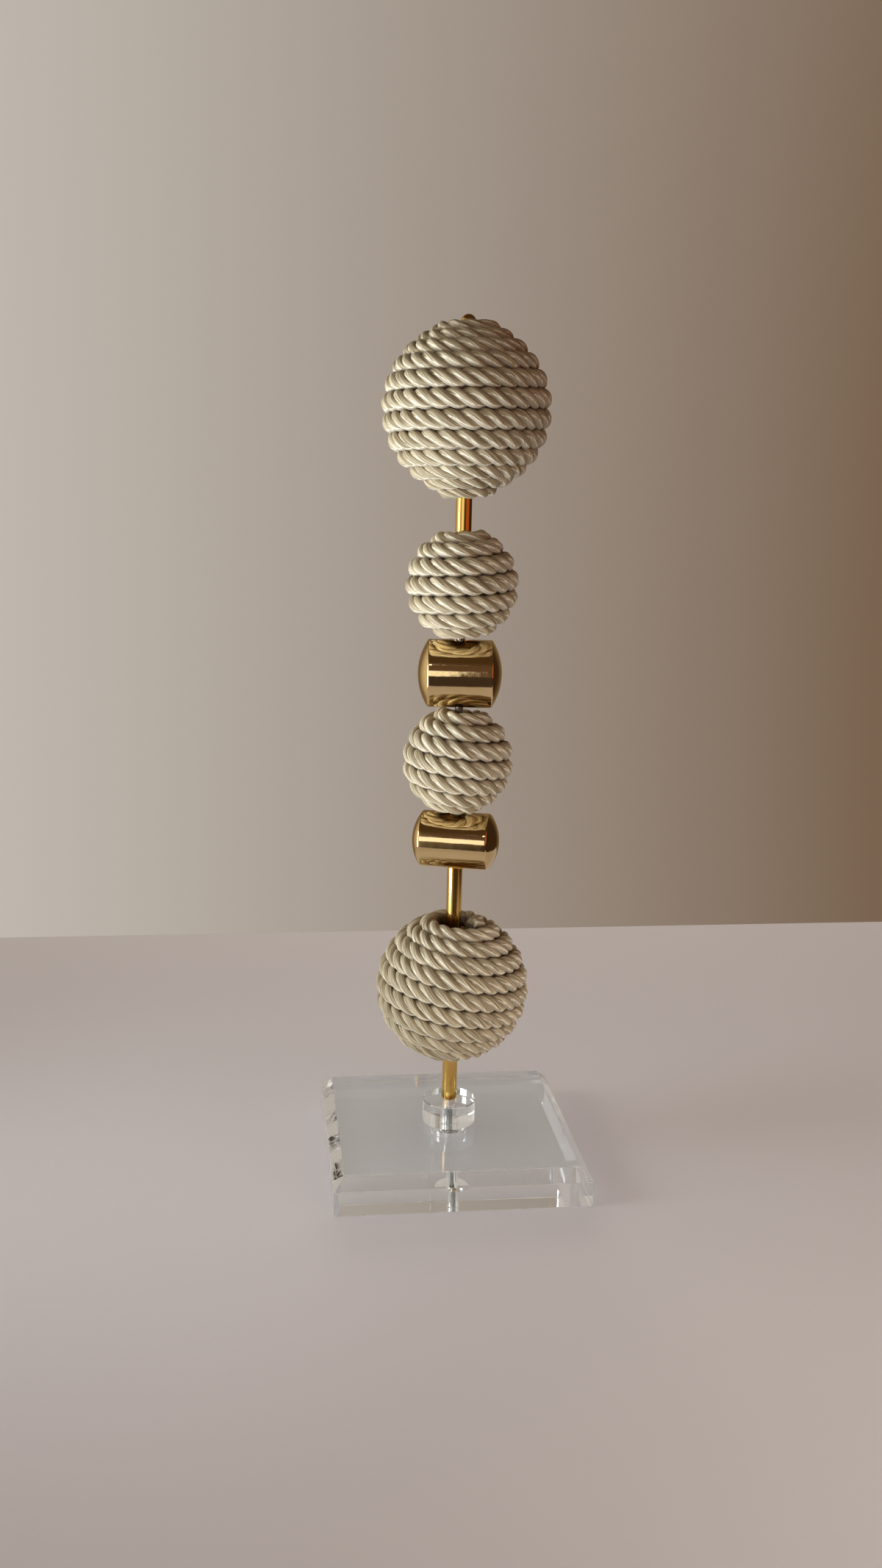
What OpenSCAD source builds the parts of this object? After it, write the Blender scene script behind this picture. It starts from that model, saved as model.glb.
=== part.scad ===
// Table sculpture of cord-wound balls and gilt cross barrels, threaded on an upright rod
// that stands on a clear bevelled base. Millimetres, +Z up, origin under the middle of the base.

/* [Base] */
// Side of the square base
base_side = 100; // [80:1:140]
// Thickness of the base
base_t = 14.5; // [13:0.5:25]
// Width and height of the bevel round the top of the base
base_bevel = 4.5; // [1:0.5:6]
// Diameter of the clear collar on the base
collar_d = 21.5; // [16:0.5:40]
// Height of the collar
collar_h = 9.5; // [4:0.5:20]
// Diameter of the bores through the base and the collar
clear_bore_d = 4.5; // [4.3:0.1:5]
// Diameter of the nut's pocket under the base
pocket_d = 14; // [11:0.5:20]
// Depth of the nut's pocket
pocket_h = 6; // [5.5:0.1:8]

/* [Rod and fasteners] */
// Diameter of the upright rod
rod_d = 4; // [3:0.1:4.2]
// Height of the rod's lower end above the table
rod_lift = 0.8; // [0.3:0.1:1.2]
// Length of the rod inside the cap nut
rod_grip = 4.6; // [3:0.1:5]
// Chamfer at both ends of the rod
rod_chamfer = 0.5; // [0.2:0.1:0.8]
// Outside diameter of both washers
washer_d = 9; // [8.2:0.1:10.5]
// Thickness of both washers
washer_t = 0.8; // [0.5:0.1:1.2]
// Width across the flats of both nuts
nut_af = 7; // [6:0.1:7.5]
// Height of the plain nut, and of the hexagon of the cap nut
nut_h = 3.2; // [2.4:0.1:3.4]
// Step from a nut's flats in to its round end face
nut_relief = 0.15; // [0.1:0.05:0.3]
// Height of the whole cap nut
cap_nut_h = 8; // [7:0.1:10]
// Diameter of the cap nut's dome
cap_dome_d = 5.6; // [5.2:0.1:6]

/* [Tubes] */
// Outside diameter of the three gilt tubes
tube_d = 6; // [5.4:0.1:7.5]
// Length of the tube under the bottom ball
lower_tube_l = 25; // [15:0.5:50]
// Length of the tube over the bottom ball
middle_tube_l = 27; // [18:0.5:50]
// Length of the tube under the top ball
upper_tube_l = 25; // [18:0.5:50]

/* [Barrels] */
// Diameter of the lower cross barrel
lower_barrel_d = 22.4; // [18:0.1:30]
// Length of its straight part
lower_barrel_l = 26.5; // [16:0.5:40]
// Diameter of the upper cross barrel
upper_barrel_d = 26; // [18:0.1:34]
// Length of its straight part
upper_barrel_l = 24.5; // [16:0.5:40]
// Height of the dome at each end of a barrel
barrel_dome = 3.9; // [2:0.1:6]
// Depth of the tube's seat in a barrel
tube_seat = 2; // [1:0.1:4]
// Angle of the lower barrel about the rod
lower_barrel_turn = -17; // [-90:1:90]
// Angle of the upper barrel about the rod
upper_barrel_turn = -7; // [-90:1:90]

/* [Balls] */
// Diameter of the core in the bottom ball
bottom_core_d = 48; // [40:1:70]
// Diameter of the core in the lower small ball
lower_core_d = 30; // [26:1:45]
// Diameter of the core in the upper small ball
upper_core_d = 30; // [26:1:45]
// Diameter of the core in the top ball
top_core_d = 50; // [40:1:70]
// Lean of the bottom ball's winding
bottom_lean = 2; // [0:0.5:3]
// Width of the flat left round a tube's end at each pole of a core
seat_rim = 1; // [0.5:0.1:2]

/* [Cord] */
// Diameter of the twisted cord
cord_d = 6.6; // [5:0.1:7.5]
// Distance between turns on the bottom ball
bottom_pitch = 6.5; // [6:0.1:8]
// Distance between turns on the lower small ball
lower_pitch = 6.6; // [6:0.1:8]
// Distance between turns on the upper small ball
upper_pitch = 7; // [6:0.1:8]
// Distance between turns on the top ball
top_pitch = 7.3; // [6:0.1:8]
// Thickness of the glued band that ties the turns of a winding together
bond_t = 2.4; // [1.5:0.1:4]

/* [Clearances] */
// Gap round the rod in cores, barrels and tubes
rod_gap = 0.1; // [0.05:0.01:0.2]
// Gap between a nut's thread and the rod
thread_gap = 0.05; // [0.02:0.01:0.1]
// Room over the end of the rod in the cap nut
thread_end = 0.4; // [0.2:0.1:1]
// Gap between pieces that sit on one another and turn
seat_gap = 0.2; // [0.1:0.05:0.3]
// Gap between a winding and what passes through its opening
opening_gap = 0.4; // [0.2:0.1:1]
// Glue line between a core and its winding
glue_gap = 0.1; // [0.05:0.05:0.3]

/* [Hidden] */
$fn = 96;
cut = 1; // overrun of every cutting shape

clear_colour = [0.86, 0.90, 0.90, 0.35];
gilt_colour = [0.83, 0.66, 0.30];
steel_colour = [0.62, 0.63, 0.64];
cord_colour = [0.85, 0.80, 0.64];
wood_colour = [0.78, 0.64, 0.46];

running_bore_d = rod_d + 2 * rod_gap;
thread_bore_d = rod_d + 2 * thread_gap;
seat_d = tube_d + 2 * seat_rim;
tube_socket_d = tube_d + 2 * rod_gap;

// Size of a winding: radius of its cord's centreline, openings at the poles, height over the middle
function winding_r(core_d) = core_d / 2 + glue_gap + cord_d / 2;
function opening_d(through_d) = through_d + 2 * opening_gap;
function first_turn(core_d, open_d) = asin((open_d + cord_d) / 2 / winding_r(core_d));
function half_winding(core_d, open_d) =
    winding_r(core_d) * cos(first_turn(core_d, open_d)) + cord_d / 2;
function half_core(core_d) = sqrt(pow(core_d / 2, 2) - pow(seat_d / 2, 2));

// Openings for what passes through a pole: the bare rod, a tube, a tube in a leaning winding, a washer
lean_shift = winding_r(bottom_core_d) * sin(bottom_lean);
rod_open_d = opening_d(rod_d);
tube_open_d = opening_d(tube_d);
leaning_open_d = opening_d(tube_d + 2 * lean_shift);
washer_open_d = opening_d(washer_d);

// Heights up the rod, each piece standing on the one below
collar_z = base_t;
lower_tube_z = collar_z + collar_h;
bottom_ball_z = lower_tube_z + lower_tube_l + seat_gap + half_core(bottom_core_d);
middle_tube_z = bottom_ball_z + half_core(bottom_core_d) + seat_gap;
lower_barrel_z = middle_tube_z + middle_tube_l + seat_gap - tube_seat + lower_barrel_d / 2;
lower_ball_z = lower_barrel_z + lower_barrel_d / 2 + seat_gap + half_winding(lower_core_d, rod_open_d);
upper_barrel_z = lower_ball_z + half_winding(lower_core_d, rod_open_d) + seat_gap + upper_barrel_d / 2;
upper_ball_z = upper_barrel_z + upper_barrel_d / 2 + seat_gap + half_winding(upper_core_d, rod_open_d);
upper_tube_z = upper_ball_z + half_core(upper_core_d) + seat_gap;
top_ball_z = upper_tube_z + upper_tube_l + seat_gap + half_core(top_core_d);
top_washer_z = top_ball_z + half_core(top_core_d) + seat_gap;
cap_nut_z = top_washer_z + washer_t + thread_gap;

base_washer_z = pocket_h - washer_t;
base_nut_z = base_washer_z - nut_h;

module bore(d, from, to) {
    translate([0, 0, from - cut]) cylinder(d = d, h = to - from + 2 * cut);
}

module ring(outer_d, inner_d, h) {
    difference() {
        cylinder(d = outer_d, h = h);
        bore(inner_d, 0, h);
    }
}

module base_plate() {
    wall_h = base_t - base_bevel;
    color(clear_colour) difference() {
        union() {
            translate([-base_side / 2, -base_side / 2, 0]) cube([base_side, base_side, wall_h]);
            translate([0, 0, wall_h]) bevelled_top();
        }
        bore(clear_bore_d, 0, base_t);
        bore(pocket_d, -pocket_h, pocket_h - cut);
    }
}

// The bevel is two crossed wedge prisms, so that its mitres are true planes
module bevelled_top() {
    half = base_side / 2;
    outline = [
        [-half, 0], [half, 0],
        [half - base_bevel, base_bevel], [-half + base_bevel, base_bevel]
    ];
    intersection() {
        rotate([90, 0, 0]) translate([0, 0, -half]) linear_extrude(base_side) polygon(outline);
        rotate([90, 0, 90]) translate([0, 0, -half]) linear_extrude(base_side) polygon(outline);
    }
}

module base_collar() {
    color(clear_colour) translate([0, 0, collar_z]) ring(collar_d, clear_bore_d, collar_h);
}

module core_rod() {
    straight_l = cap_nut_z + rod_grip - rod_lift - 2 * rod_chamfer;
    end_d = rod_d - 2 * rod_chamfer;
    color(steel_colour) translate([0, 0, rod_lift]) {
        cylinder(d1 = end_d, d2 = rod_d, h = rod_chamfer);
        translate([0, 0, rod_chamfer]) cylinder(d = rod_d, h = straight_l);
        translate([0, 0, rod_chamfer + straight_l]) cylinder(d1 = rod_d, d2 = end_d, h = rod_chamfer);
    }
}

module washer() {
    color(steel_colour) ring(washer_d, running_bore_d, washer_t);
}

module base_washer() {
    translate([0, 0, base_washer_z]) washer();
}

module top_washer() {
    translate([0, 0, top_washer_z]) washer();
}

// A hexagon with its corners turned down at 30 degrees at both ends
module hexagon(h) {
    face_r = nut_af / 2 - nut_relief;
    wide_r = nut_af / 2 / cos(30) + cut;
    wide_h = (wide_r - face_r) * tan(30);
    intersection() {
        cylinder(d = nut_af / cos(30), h = h, $fn = 6);
        rotate_extrude() polygon([
            [0, 0], [face_r, 0], [wide_r, wide_h],
            [wide_r, h - wide_h], [face_r, h], [0, h]
        ]);
    }
}

module base_nut() {
    color(steel_colour) translate([0, 0, base_nut_z]) difference() {
        hexagon(nut_h);
        bore(thread_bore_d, 0, nut_h);
    }
}

module cap_nut() {
    color(gilt_colour) translate([0, 0, cap_nut_z]) difference() {
        union() {
            hexagon(nut_h);
            cylinder(d = cap_dome_d, h = cap_nut_h - cap_dome_d / 2);
            translate([0, 0, cap_nut_h - cap_dome_d / 2]) sphere(d = cap_dome_d);
        }
        bore(thread_bore_d, 0, rod_grip + thread_end - cut);
    }
}

module gilt_tube(length) {
    color(gilt_colour) ring(tube_d, running_bore_d, length);
}

module lower_tube() {
    translate([0, 0, lower_tube_z]) gilt_tube(lower_tube_l);
}

module middle_tube() {
    translate([0, 0, middle_tube_z]) gilt_tube(middle_tube_l);
}

module upper_tube() {
    translate([0, 0, upper_tube_z]) gilt_tube(upper_tube_l);
}

// A barrel lies across the rod: a straight cylinder with a shallow dome at each end
module barrel(d, straight_l, turn) {
    dome_r = (pow(d / 2, 2) + pow(barrel_dome, 2)) / (2 * barrel_dome);
    dome_shift = dome_r - barrel_dome - straight_l / 2;
    color(gilt_colour) rotate([0, 0, turn]) difference() {
        rotate([0, 90, 0]) intersection() {
            cylinder(d = d, h = straight_l + 2 * barrel_dome, center = true);
            translate([0, 0, -dome_shift]) sphere(r = dome_r);
            translate([0, 0, dome_shift]) sphere(r = dome_r);
        }
        bore(running_bore_d, -d / 2, d / 2);
        bore(tube_socket_d, -d / 2 - tube_seat, -d / 2 + tube_seat - cut);
        bore(tube_socket_d, d / 2 - tube_seat + cut, d / 2 + tube_seat);
    }
}

module lower_barrel() {
    translate([0, 0, lower_barrel_z]) barrel(lower_barrel_d, lower_barrel_l, lower_barrel_turn);
}

module upper_barrel() {
    translate([0, 0, upper_barrel_z]) barrel(upper_barrel_d, upper_barrel_l, upper_barrel_turn);
}

// A core is a turned ball with a flat at each pole and a bore for the rod
module core(core_d) {
    half = half_core(core_d);
    color(wood_colour) difference() {
        intersection() {
            sphere(d = core_d);
            translate([0, 0, -half]) cylinder(d = core_d + cut, h = 2 * half);
        }
        bore(running_bore_d, -half, half);
    }
}

// A winding is one cord laid in turns from pole to pole, each turn glued to the next
module winding(core_d, over_d, under_d, pitch, lean = 0) {
    r = winding_r(core_d);
    first = first_turn(core_d, over_d);
    last = 180 - first_turn(core_d, under_d);
    steps = round(r * (last - first) * PI / 180 / pitch);
    reach = core_d + cord_d;
    color(cord_colour) rotate([0, lean, 0]) rotate_extrude() {
        for (i = [0 : steps]) {
            angle = first + i * (last - first) / steps;
            translate(r * [sin(angle), cos(angle)]) circle(d = cord_d);
        }
        intersection() {
            difference() {
                circle(r = r + bond_t / 2);
                circle(r = r - bond_t / 2);
            }
            polygon([
                [0, 0], [reach * tan(first), reach], [reach, reach],
                [reach, -reach], [-reach * tan(last), -reach]
            ]);
        }
    }
}

module bottom_ball_core() {
    translate([0, 0, bottom_ball_z]) core(bottom_core_d);
}

module bottom_ball_cord() {
    translate([0, 0, bottom_ball_z])
        winding(bottom_core_d, leaning_open_d, leaning_open_d, bottom_pitch, bottom_lean);
}

module lower_ball_core() {
    translate([0, 0, lower_ball_z]) core(lower_core_d);
}

module lower_ball_cord() {
    translate([0, 0, lower_ball_z]) winding(lower_core_d, rod_open_d, rod_open_d, lower_pitch);
}

module upper_ball_core() {
    translate([0, 0, upper_ball_z]) core(upper_core_d);
}

module upper_ball_cord() {
    translate([0, 0, upper_ball_z]) winding(upper_core_d, tube_open_d, rod_open_d, upper_pitch);
}

module top_ball_core() {
    translate([0, 0, top_ball_z]) core(top_core_d);
}

module top_ball_cord() {
    translate([0, 0, top_ball_z]) winding(top_core_d, washer_open_d, tube_open_d, top_pitch);
}

base_plate();
base_collar();
core_rod();
base_washer();
base_nut();
lower_tube();
middle_tube();
upper_tube();
bottom_ball_core();
bottom_ball_cord();
lower_barrel();
lower_ball_core();
lower_ball_cord();
upper_barrel();
upper_ball_core();
upper_ball_cord();
top_ball_core();
top_ball_cord();
top_washer();
cap_nut();
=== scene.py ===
import math

import bpy
from mathutils import Matrix, Vector


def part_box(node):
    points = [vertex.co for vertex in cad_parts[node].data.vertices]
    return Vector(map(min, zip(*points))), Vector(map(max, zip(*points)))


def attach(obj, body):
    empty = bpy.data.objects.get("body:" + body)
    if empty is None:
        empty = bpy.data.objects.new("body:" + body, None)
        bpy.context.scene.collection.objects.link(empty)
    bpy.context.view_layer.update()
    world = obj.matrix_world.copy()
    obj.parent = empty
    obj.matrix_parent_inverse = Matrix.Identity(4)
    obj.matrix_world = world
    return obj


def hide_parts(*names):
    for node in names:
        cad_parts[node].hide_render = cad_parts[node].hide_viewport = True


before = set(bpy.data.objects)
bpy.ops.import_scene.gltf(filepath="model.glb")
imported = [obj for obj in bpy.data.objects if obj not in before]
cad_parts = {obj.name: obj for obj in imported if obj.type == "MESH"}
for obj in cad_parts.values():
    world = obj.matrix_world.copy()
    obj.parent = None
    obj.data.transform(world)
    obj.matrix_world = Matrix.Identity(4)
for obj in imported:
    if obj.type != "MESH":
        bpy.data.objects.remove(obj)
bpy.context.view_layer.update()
mm = 0.001


def linear(hexColour):
    # sRGB hex to the linear colour that the shaders take
    parts = [int(hexColour[i:i + 2], 16) / 255 for i in (1, 3, 5)]
    return tuple(c / 12.92 if c <= 0.04045 else ((c + 0.055) / 1.055) ** 2.4 for c in parts) + (1.0,)


def setInputs(tree, node, inputs):
    # an input is a value, or a socket to link from
    for key, value in inputs.items():
        if isinstance(value, bpy.types.NodeSocket):
            tree.links.new(value, node.inputs[key])
        else:
            node.inputs[key].default_value = value


def addNode(tree, kind, inputs=None, **settings):
    node = tree.nodes.new(kind)
    for name, value in settings.items():
        setattr(node, name, value)
    setInputs(tree, node, inputs or {})
    return node


def newMaterial(name):
    material = bpy.data.materials.new(name)
    material.use_nodes = True
    return material, material.node_tree, material.node_tree.nodes["Principled BSDF"]


# Camera: where the photograph was taken from, as fitted to the base's corners
cameraView = {
    "place": Vector((-78.9, -555.8, 281.1)) * mm,
    "yaw": 7.44,            # degrees to the right of +Y
    "pitch": 12.6,          # degrees down
    "roll": 1.32,
    "focalPixels": 2002,    # focal length, in the photograph's pixels
    "imageHeight": 2133,    # in the same pixels
    "sensor": 36.0,
    "clipStart": 10,
}


def makeCamera():
    data = bpy.data.cameras.new("photoCamera")
    data.sensor_width = cameraView["sensor"]
    data.lens = cameraView["focalPixels"] / cameraView["imageHeight"] * cameraView["sensor"]
    data.clip_start = cameraView["clipStart"] * mm
    camera = bpy.data.objects.new("photoCamera", data)
    bpy.context.scene.collection.objects.link(camera)
    turn = Matrix.Rotation(-math.radians(cameraView["yaw"]), 4, "Z")
    turn = turn @ Matrix.Rotation(math.radians(90 - cameraView["pitch"]), 4, "X")
    turn = turn @ Matrix.Rotation(math.radians(cameraView["roll"]), 4, "Z")
    camera.matrix_world = Matrix.Translation(cameraView["place"]) @ turn
    bpy.context.scene.camera = camera


makeCamera()
print("camera set")


# Materials

def makeAcrylic():
    # Clear cast acrylic, sawn and polished: almost no colour, with faint upright saw lines left in the walls
    material, tree, shader = newMaterial("clearCastAcrylic")
    place = addNode(tree, "ShaderNodeTexCoord").outputs["Object"]
    sawLine, sawRun, sawDepth, sawStrength = 1.6 * mm, 40 * mm, 0.1 * mm, 0.12
    haze = 9 * mm
    wallTilt = 0.3          # a face whose normal rises or falls less than this is a wall
    stretched = addNode(tree, "ShaderNodeMapping",
                        {"Vector": place, "Scale": (1 / sawLine, 1 / sawLine, 1 / sawRun)})
    saw = addNode(tree, "ShaderNodeTexNoise", {"Vector": stretched.outputs[0], "Scale": 1.0, "Detail": 2.0})
    cloud = addNode(tree, "ShaderNodeTexNoise", {"Vector": place, "Scale": 1 / haze, "Detail": 3.0})
    gloss = addNode(tree, "ShaderNodeMapRange", {0: cloud.outputs[0], 1: 0.45, 2: 0.8, 3: 0.0, 4: 0.03})
    facing = addNode(tree, "ShaderNodeNewGeometry").outputs["True Normal"]
    upward = addNode(tree, "ShaderNodeSeparateXYZ", {0: facing}).outputs["Z"]
    level = addNode(tree, "ShaderNodeMath", {0: upward}, operation="ABSOLUTE").outputs[0]
    wall = addNode(tree, "ShaderNodeMath", {0: level, 1: wallTilt}, operation="LESS_THAN").outputs[0]
    strength = addNode(tree, "ShaderNodeMath", {0: wall, 1: sawStrength}, operation="MULTIPLY").outputs[0]
    bump = addNode(tree, "ShaderNodeBump",
                   {"Strength": strength, "Distance": sawDepth, "Height": saw.outputs[0]})
    setInputs(tree, shader, {
        "Base Color": linear("#FAFCFB"), "Roughness": gloss.outputs[0], "Normal": bump.outputs[0],
        "Transmission Weight": 1.0, "IOR": 1.49})
    return material


def makeGiltBarrel():
    # Pale gold plate on a cast barrel, buffed to a mirror: reflections waver a little and soften in spots
    material, tree, shader = newMaterial("buffedPaleGoldPlate")
    place = addNode(tree, "ShaderNodeTexCoord").outputs["Object"]
    waver, grain = 7 * mm, 0.9 * mm
    wave = addNode(tree, "ShaderNodeTexNoise", {"Vector": place, "Scale": 1 / waver, "Detail": 1.0})
    fine = addNode(tree, "ShaderNodeTexNoise", {"Vector": place, "Scale": 1 / grain, "Detail": 2.0})
    gloss = addNode(tree, "ShaderNodeMapRange", {0: fine.outputs[0], 1: 0.35, 2: 0.75, 3: 0.05, 4: 0.12})
    tone = addNode(tree, "ShaderNodeMix", {0: wave.outputs[0], 6: linear("#E6C98F"), 7: linear("#EFD7A6")},
                   data_type="RGBA")
    swell = addNode(tree, "ShaderNodeBump",
                    {"Strength": 0.25, "Distance": 0.3 * mm, "Height": wave.outputs[0]})
    peel = addNode(tree, "ShaderNodeBump", {"Strength": 0.1, "Distance": 0.02 * mm, "Height": fine.outputs[0],
                                            "Normal": swell.outputs[0]})
    setInputs(tree, shader, {
        "Base Color": tone.outputs[2], "Metallic": 1.0, "Roughness": gloss.outputs[0],
        "Normal": peel.outputs[0]})
    return material


def makeGiltTube():
    # Drawn brass tube, polished: a deep yellow with fine lines along its length.
    # The lines are drawn coarser than real ones, which would be too fine to show
    material, tree, shader = newMaterial("polishedDrawnBrass")
    place = addNode(tree, "ShaderNodeTexCoord").outputs["Object"]
    line, run = 0.5 * mm, 14 * mm
    stretched = addNode(tree, "ShaderNodeMapping", {"Vector": place, "Scale": (1 / line, 1 / line, 1 / run)})
    drawn = addNode(tree, "ShaderNodeTexNoise", {"Vector": stretched.outputs[0], "Scale": 1.0, "Detail": 3.0})
    gloss = addNode(tree, "ShaderNodeMapRange", {0: drawn.outputs[0], 1: 0.3, 2: 0.75, 3: 0.09, 4: 0.2})
    tone = addNode(tree, "ShaderNodeMix", {0: drawn.outputs[0], 6: linear("#D9AC54"), 7: linear("#EAC678")},
                   data_type="RGBA")
    bump = addNode(tree, "ShaderNodeBump",
                   {"Strength": 0.12, "Distance": 0.03 * mm, "Height": drawn.outputs[0]})
    setInputs(tree, shader, {
        "Base Color": tone.outputs[2], "Metallic": 1.0, "Roughness": gloss.outputs[0],
        "Normal": bump.outputs[0]})
    return material


def makeZincSteel():
    # Zinc plated steel, rolled thread: a cool grey with a cloudy plating
    material, tree, shader = newMaterial("zincPlatedSteel")
    place = addNode(tree, "ShaderNodeTexCoord").outputs["Object"]
    cloudSize = 2.5 * mm
    cloud = addNode(tree, "ShaderNodeTexNoise", {"Vector": place, "Scale": 1 / cloudSize, "Detail": 4.0})
    tone = addNode(tree, "ShaderNodeMix", {0: cloud.outputs[0], 6: linear("#9C9FA1"), 7: linear("#C6C8C8")},
                   data_type="RGBA")
    gloss = addNode(tree, "ShaderNodeMapRange", {0: cloud.outputs[0], 1: 0.3, 2: 0.7, 3: 0.22, 4: 0.38})
    setInputs(tree, shader, {
        "Base Color": tone.outputs[2], "Metallic": 1.0, "Roughness": gloss.outputs[0]})
    return material


def makeCoreWood():
    # Turned beech ball, unfinished: pale growth rings with short darker flecks
    material, tree, shader = newMaterial("turnedBeech")
    place = addNode(tree, "ShaderNodeTexCoord").outputs["Object"]
    ringWidth, fleckLength, fleckWidth = 4 * mm, 3 * mm, 0.5 * mm
    wavePeriod = 0.3        # how far apart the waves lie at a scale of 1
    grainTurn = (0.3, 1.2, 0.0)
    turned = addNode(tree, "ShaderNodeMapping", {"Vector": place, "Rotation": grainTurn})
    rings = addNode(tree, "ShaderNodeTexWave", {"Vector": turned.outputs[0], "Scale": wavePeriod / ringWidth,
                                                "Distortion": 2.0, "Detail": 2.0})
    along = addNode(tree, "ShaderNodeMapping",
                    {"Vector": turned.outputs[0], "Scale": (1 / fleckWidth, 1 / fleckLength, 1 / fleckWidth)})
    fleck = addNode(tree, "ShaderNodeTexNoise", {"Vector": along.outputs[0], "Scale": 1.0, "Detail": 3.0})
    ringTone = addNode(tree, "ShaderNodeMix",
                       {0: rings.outputs[1], 6: linear("#C9A578"), 7: linear("#D9BC93")}, data_type="RGBA")
    fleckShare = addNode(tree, "ShaderNodeMapRange", {0: fleck.outputs[0], 1: 0.55, 2: 0.75, 3: 0.0, 4: 0.5})
    tone = addNode(tree, "ShaderNodeMix",
                   {0: fleckShare.outputs[0], 6: ringTone.outputs[2], 7: linear("#A07A4C")}, data_type="RGBA")
    bump = addNode(tree, "ShaderNodeBump",
                   {"Strength": 0.2, "Distance": 0.1 * mm, "Height": fleck.outputs[0]})
    setInputs(tree, shader, {
        "Base Color": tone.outputs[2], "Roughness": 0.6, "Normal": bump.outputs[0]})
    return material


acrylic = makeAcrylic()
giltBarrel = makeGiltBarrel()
giltTube = makeGiltTube()
zincSteel = makeZincSteel()
coreWood = makeCoreWood()
print("materials made:", len(bpy.data.materials))


# Meshes from rings

def circleRing(radius, z, angles):
    return [Vector((radius * math.cos(a), radius * math.sin(a), z)) for a in angles]


def evenAngles(count):
    return [2 * math.pi * i / count for i in range(count)]


def latheRings(profile, count):
    angles = evenAngles(count)
    return [circleRing(r, z, angles) if r > 0 else [Vector((0, 0, z))] for r, z in profile]


def ringProfile(bore, radius, foot, head, edge):
    # the section of a plain ring with its four edges taken off
    return [
        (bore, foot + edge), (bore + edge, foot), (radius - edge, foot), (radius, foot + edge),
        (radius, head - edge), (radius - edge, head), (bore + edge, head), (bore, head - edge),
    ]


def joinRings(rings, closed):
    # quads between rings that run anticlockwise, and a fan where a ring is one point
    starts = [0]
    for ring in rings:
        starts.append(starts[-1] + len(ring))
    faces = []
    for k in range(len(rings) if closed else len(rings) - 1):
        below, above = k, (k + 1) % len(rings)
        count = max(len(rings[below]), len(rings[above]))
        for i in range(count):
            j = (i + 1) % count
            corners = [starts[below] + i % len(rings[below]), starts[below] + j % len(rings[below]),
                       starts[above] + j % len(rings[above]), starts[above] + i % len(rings[above])]
            faces.append(list(dict.fromkeys(corners)))
    return [p for ring in rings for p in ring], faces


def addPiece(name, points, faces, material, sharpAngle=30, normals=None):
    # points are in millimetres; normals are given for the first points, and the sharp angle sees to the rest
    mesh = bpy.data.meshes.new(name)
    mesh.from_pydata([p * mm for p in points], [], faces)
    mesh.validate()
    mesh.shade_smooth()
    mesh.set_sharp_from_angle(angle=math.radians(sharpAngle))
    if normals:
        plain = [corner.vector.copy() for corner in mesh.corner_normals]
        mesh.normals_split_custom_set([
            normals[loop.vertex_index] if loop.vertex_index < len(normals) else look
            for loop, look in zip(mesh.loops, plain)])
    mesh.materials.append(material)
    piece = bpy.data.objects.new(name, mesh)
    bpy.context.scene.collection.objects.link(piece)
    return piece


def settle(piece, body, slot, *nodes):
    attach(piece, body)
    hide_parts(*nodes)


def boxMm(node):
    low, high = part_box(node)
    return low / mm, high / mm


# Clear base: a square plate with a wide bevel round its top, tiny polished edges, a bore and a nut's pocket
basePlate = {
    "bevel": 4.5,
    "edge": 0.3,            # length that a polished-off edge takes from each face
    "edgeSteps": 4,
    "corner": 0.6,          # radius of the upright corners
    "cornerSteps": 5,
    "sidePoints": 20,
    "sharpAngle": 10,       # edges that turn more than this many degrees stay crisp
    "boreRadius": 2.25,
    "pocketRadius": 7.0,
    "pocketDepth": 6.0,
}


def squareRing(half, corner, z, tilt):
    # points round the square, and which way the face looks there: tilt is its angle up from level
    ring, normals = [], []
    straight = half - corner
    sidePoints, cornerSteps = basePlate["sidePoints"], basePlate["cornerSteps"]
    for side in range(4):
        turn = Matrix.Rotation(side * math.pi / 2, 3, "Z")
        spots = [(0, -straight + 2 * straight * i / (sidePoints - 1)) for i in range(sidePoints)]
        spots += [(math.pi / 2 * i / cornerSteps, straight) for i in range(1, cornerSteps)]
        for angle, along in spots:
            level = Vector((math.cos(angle), math.sin(angle), 0))
            ring.append(turn @ (Vector((straight, along, z)) + level * corner))
            normals.append(turn @ level * math.cos(tilt) + Vector((0, 0, math.sin(tilt))))
    return ring, normals


def edgeRound(start, fromTilt, toTilt):
    # a polished edge in the plate's section, from where it leaves one face to where it meets the next
    fromTilt, toTilt = math.radians(fromTilt), math.radians(toTilt)
    radius = basePlate["edge"] / math.tan((toTilt - fromTilt) / 2)
    middle = Vector(start) - Vector((math.cos(fromTilt), math.sin(fromTilt))) * radius
    steps = basePlate["edgeSteps"]
    tilts = [fromTilt + (toTilt - fromTilt) * i / steps for i in range(steps + 1)]
    return [(middle.x + radius * math.cos(t), middle.y + radius * math.sin(t), t) for t in tilts]


def makeBasePlate():
    high = boxMm("base_plate")[1]
    half, top = high.x, high.z
    bevel, edge, corner = basePlate["bevel"], basePlate["edge"], basePlate["corner"]
    slope = edge / math.sqrt(2)
    outline = edgeRound((half - edge, 0), -90, 0) + edgeRound((half, top - bevel - edge), 0, 45)
    outline += edgeRound((half - bevel + slope, top - slope), 45, 90)
    rings = [squareRing(h, corner, z, tilt) for h, z, tilt in outline]
    outer = [ring for ring, looks in rings]
    angles = [math.atan2(p.y, p.x) for p in outer[0]]
    bore, pocket, depth = basePlate["boreRadius"], basePlate["pocketRadius"], basePlate["pocketDepth"]
    hole = [(bore + edge, top), (bore, top - edge), (bore, depth), (pocket, depth), (pocket, edge),
            (pocket + edge, 0)]
    inner = [circleRing(r, z, angles) for r, z in hole]
    normals = [look for ring, looks in rings for look in looks]
    points, faces = joinRings(outer + inner, True)
    plate = addPiece("base_plate_clear", points, faces, acrylic, basePlate["sharpAngle"], normals)
    settle(plate, "stand", "clear_acrylic", "base_plate")


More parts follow.
